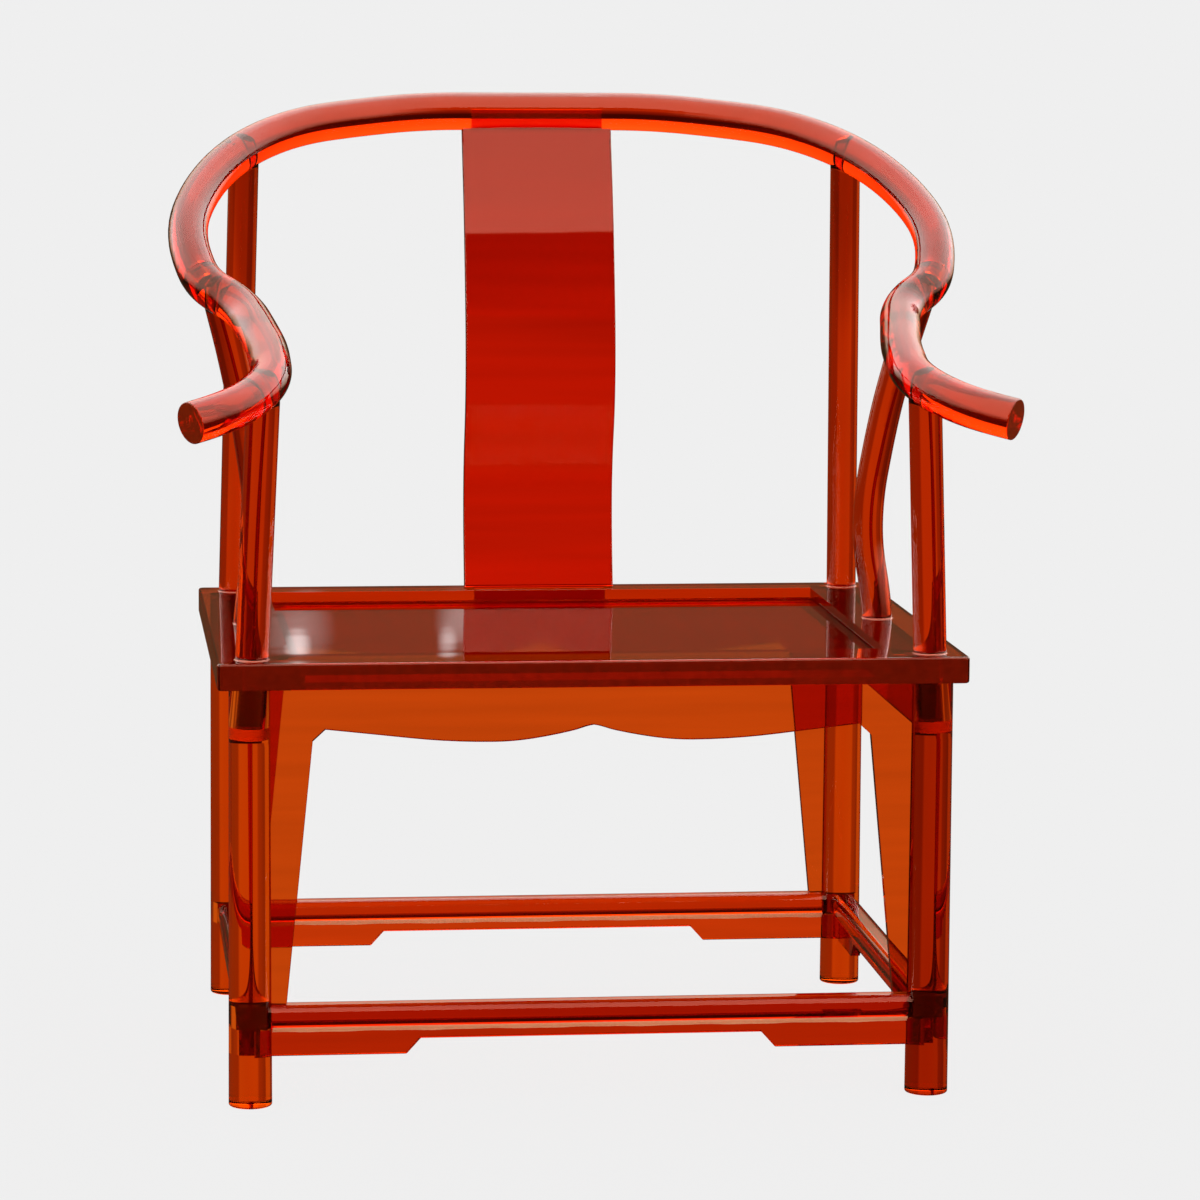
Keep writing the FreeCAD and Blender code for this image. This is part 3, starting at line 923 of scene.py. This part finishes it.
@dataclass
class Studio:
    """The pale floor and backdrop, the soft light all round and the camera.

    The stops of the mirrored and seen-through light are by elevation in degrees, those of the
    screens by the turn from straight behind. The screens hold back the light at some turns, between
    the elevations where screened says so. The mirrored light changes from the front's to the rear's,
    and from the middle's to the sides', over a stretch of the direction's reach back and aside. The
    camera's yaw, pitch and roll are in degrees.
    """

    pale: float = 0.8632
    ceiling_tint: Colour = (1.0, 0.89, 0.88)
    wall_tint: Colour = (1.0, 0.53, 0.22)
    white_share: float = 0.28
    far_wall_tint: Colour = (1.0, 0.45, 0.35)
    brightest: float = 8.0
    mirrored_in_front: Stops = ((-90.0, 0.06), (25.0, 0.06), (25.2, 4.2), (60.0, 3.9), (90.0, 3.6))
    mirrored_behind: Stops = ((-90.0, 0.06), (5.0, 0.08), (7.0, 0.14), (10.0, 0.14), (13.0, 1.4), (25.0, 2.6),
                              (50.0, 3.6), (90.0, 3.6))
    front_ends: float = -0.25
    rear_starts: float = 0.25
    mirrored_aside: Stops = ((-90.0, 0.06), (-4.0, 0.10), (0.0, 1.6), (12.0, 3.8), (90.0, 4.6))
    middle_ends: float = 0.30
    sides_start: float = 0.62
    seen_through: Stops = ((-90.0, 0.5), (-45.0, 0.6), (-33.0, 0.857), (-5.0, 0.857), (-3.2, 0.52),
                           (-1.0, 0.41), (2.0, 0.26), (4.0, 0.10), (12.5, 0.08), (15.5, 3.2), (90.0, 3.2))
    screened: Stops = ((-40.0, 0.0), (-25.0, 1.0), (13.0, 1.0), (16.0, 0.0))
    screens: Stops = ((-180.0, 1.0), (-75.0, 0.9), (-72.0, 0.45), (-56.0, 0.45), (-53.0, 1.0), (-34.0, 1.0),
                      (-30.0, 0.45), (-15.0, 0.6), (-10.0, 1.0), (22.0, 1.0), (28.0, 0.55), (78.0, 0.45),
                      (82.0, 1.0), (180.0, 1.0))
    lights: tuple[SoftLight, ...] = (
        SoftLight(turn=3.062, rise=8.36, half_width=0.19, half_height=0.24, level=1.2),
        SoftLight(turn=3.062, rise=8.163, half_width=0.503, half_height=0.553, level=0.3),
        SoftLight(turn=4.965, rise=8.30, half_width=0.15, half_height=0.22, level=0.8),
        SoftLight(turn=5.142, rise=8.011, half_width=0.377, half_height=0.453, level=0.4),
    )
    floor_half: float = 6.0
    shadow_share: float = 0.03
    film_width: float = 36.0
    lens: float = 136.669
    shift: tuple[float, float] = (0.05, -0.0333)
    camera_place: Place = (-0.526541, -4.645141, 1.105432)
    yaw: float = 6.1281
    pitch: float = 7.2771
    roll: float = 0.3406
    farthest: float = 100.0
    bounces: int = 32
    mirror_bounces: int = 16

    def build(self) -> None:
        """Builds the world, the floor and the camera."""
        self.settings()
        self.world()
        self.floor()
        self.camera()

    def settings(self) -> None:
        """Keeps colours plain, and lets light pass through many skins of resin."""
        scene = bpy.context.scene
        scene.view_settings.view_transform = "Standard"
        scene.cycles.max_bounces = self.bounces
        scene.cycles.transmission_bounces = self.bounces
        scene.cycles.glossy_bounces = self.mirror_bounces
        scene.cycles.denoising_input_passes = "RGB"

    def world(self) -> None:
        """Makes a studio that the chair mirrors and lets through, before a pale backdrop."""
        world = bpy.data.worlds.new("studio")
        bpy.context.scene.world = world
        world.use_nodes = True
        world.cycles.sampling_method = "NONE"
        sheet = NodeSheet(world.node_tree)
        ray = sheet.add("TexCoord").outputs["Generated"]
        rays = sheet.add("LightPath")
        light = sheet.glow(1.0)
        for kind, seen in (("Is Glossy Ray", self._mirrored(sheet, ray)),
                           ("Is Transmission Ray", self._through(sheet, ray)),
                           ("Is Camera Ray", sheet.glow(self.pale))):
            mix = sheet.add("MixShader")
            sheet.join(rays.outputs[kind], mix.inputs["Fac"])
            sheet.join(light, mix.inputs[1])
            sheet.join(seen, mix.inputs[2])
            light = mix.outputs["Shader"]
        sheet.join(light, sheet.add("OutputWorld").inputs["Surface"])

    def _mirrored(self, sheet: NodeSheet, ray: Output) -> Output:
        """Makes the light that polished skins mirror.

        Args:
            sheet: The world's nodes.
            ray: The direction looked in.

        Returns:
            The light of the ceiling and walls, with the small lights.
        """
        x, y, z = sheet.split(ray)
        height = sheet.maths("MULTIPLY_ADD", z, 0.5, 0.5)
        front, rear, aside = (sheet.ramp(self._by_height(stops), height) for stops in
                              (self.mirrored_in_front, self.mirrored_behind, self.mirrored_aside))
        level = sheet.between(y, front, rear, self.front_ends, self.rear_starts)
        level = sheet.between(sheet.maths("ABSOLUTE", x), level, aside, self.middle_ends, self.sides_start)
        level = sheet.maths("MULTIPLY", level, self.brightest)
        whiteness = sheet.maths("MULTIPLY", level, self.white_share)
        tint = sheet.blend(whiteness, paint(self.wall_tint), paint(self.ceiling_tint))
        shine = 0.0
        for light in self.lights:
            shine = sheet.maths("ADD", light.seen(sheet, ray), shine)
        both = sheet.add("AddShader")
        sheet.join(sheet.glow(level, tint), both.inputs[0])
        sheet.join(sheet.glow(shine), both.inputs[1])
        return both.outputs["Shader"]

    def _through(self, sheet: NodeSheet, ray: Output) -> Output:
        """Makes the light that is seen through the resin.

        Args:
            sheet: The world's nodes.
            ray: The direction looked in.

        Returns:
            The light of the backdrop and walls, held back by the screens.
        """
        x, y, z = sheet.split(ray)
        height = sheet.maths("MULTIPLY_ADD", z, 0.5, 0.5)
        turn = sheet.maths("MULTIPLY_ADD", sheet.maths("ARCTAN2", x, y), 0.5 / math.pi, 0.5)
        level = sheet.ramp(self._by_height(self.seen_through), height, smooth=True)
        level = sheet.maths("MULTIPLY", level, self.brightest)
        screens = sheet.ramp(self._by_turn(self.screens), turn, smooth=True)
        screened = sheet.ramp(self._by_height(self.screened, self.brightest), height)
        held_back = sheet.maths("MULTIPLY", sheet.maths("SUBTRACT", 1.0, screens), screened)
        level = sheet.maths("MULTIPLY", level, sheet.maths("SUBTRACT", 1.0, held_back))
        whiteness = sheet.maths("MULTIPLY", level, 1.0 / self.pale)
        return sheet.glow(level, sheet.blend(whiteness, paint(self.far_wall_tint), paint(WHITE)))

    def _by_turn(self, stops: Stops) -> Stops:
        """Turns stops by degrees from straight behind into stops along a ramp."""
        return tuple((angle / 360.0 + 0.5, level) for angle, level in stops)

    def _by_height(self, stops: Stops, whole: float = 1.0) -> Stops:
        """Turns stops by elevation into stops along a ramp.

        Args:
            stops: Pairs of elevation in degrees and level.
            whole: A gain, for levels that aren't light.

        Returns:
            The same stops by the direction's height, from 0 to 1, as shares of the brightest level.
        """
        return tuple((math.sin(math.radians(angle)) * 0.5 + 0.5, level * whole / self.brightest)
                     for angle, level in stops)

    def floor(self) -> None:
        """Makes a pale floor that takes a faint shadow."""
        half = self.floor_half
        mesh = bpy.data.meshes.new("floor")
        corners = [(-half, -half, 0), (half, -half, 0), (half, half, 0), (-half, half, 0)]
        mesh.from_pydata(corners, [], [(0, 1, 2, 3)])
        floor = bpy.data.objects.new("floor", mesh)
        bpy.context.scene.collection.objects.link(floor)
        floor.visible_transmission = False
        floor.visible_glossy = False
        mat = bpy.data.materials.new("pale_floor")
        mat.use_nodes = True
        sheet = NodeSheet(mat.node_tree)
        out = sheet.add("OutputMaterial")
        glow = sheet.add("Emission", Color=paint(WHITE), Strength=self.pale)
        coat = sheet.add("BsdfDiffuse", Color=paint(WHITE, self.pale))
        mix = sheet.add("MixShader", Fac=self.shadow_share)
        sheet.join(glow.outputs["Emission"], mix.inputs[1])
        sheet.join(coat.outputs["BSDF"], mix.inputs[2])
        sheet.join(mix.outputs["Shader"], out.inputs["Surface"])
        mesh.materials.append(mat)

    def camera(self) -> None:
        """Sets the camera at the photograph's place and angle."""
        data = bpy.data.cameras.new("camera")
        data.lens = self.lens
        data.sensor_width = self.film_width
        data.shift_x, data.shift_y = self.shift
        data.clip_end = self.farthest
        camera = bpy.data.objects.new("camera", data)
        yaw, pitch, roll = (math.radians(angle) for angle in (self.yaw, self.pitch, self.roll))
        ahead = Vector((math.sin(yaw) * math.cos(pitch), math.cos(yaw) * math.cos(pitch), -math.sin(pitch)))
        right = Vector((math.cos(yaw), -math.sin(yaw), 0))
        up = right.cross(ahead)
        turned_right = right * math.cos(roll) + up * math.sin(roll)
        turned_up = up * math.cos(roll) - right * math.sin(roll)
        turn = Matrix((turned_right, turned_up, -ahead)).transposed().to_4x4()
        camera.matrix_world = Matrix.Translation(self.camera_place) @ turn
        bpy.context.scene.collection.objects.link(camera)
        bpy.context.scene.camera = camera


def main() -> None:
    """Dresses the chair and builds the studio round it."""
    finishes = {finish.name: finish.material() for finish in FINISHES}
    for group in (CrestRail(), BackSplat(), Posts(), SeatFrame(), SeatPanel(), Legs(), Aprons(), Stretchers(),
                  SteppedStrips(), GlueHighlightLines()):
        pieces = group.build()
        group.dress(finishes)
        for piece in pieces:
            log.info("%s: %s", type(group).__name__, piece.name)
    Studio().build()
    log.info("studio built")


if __name__ == "__main__":
    main()
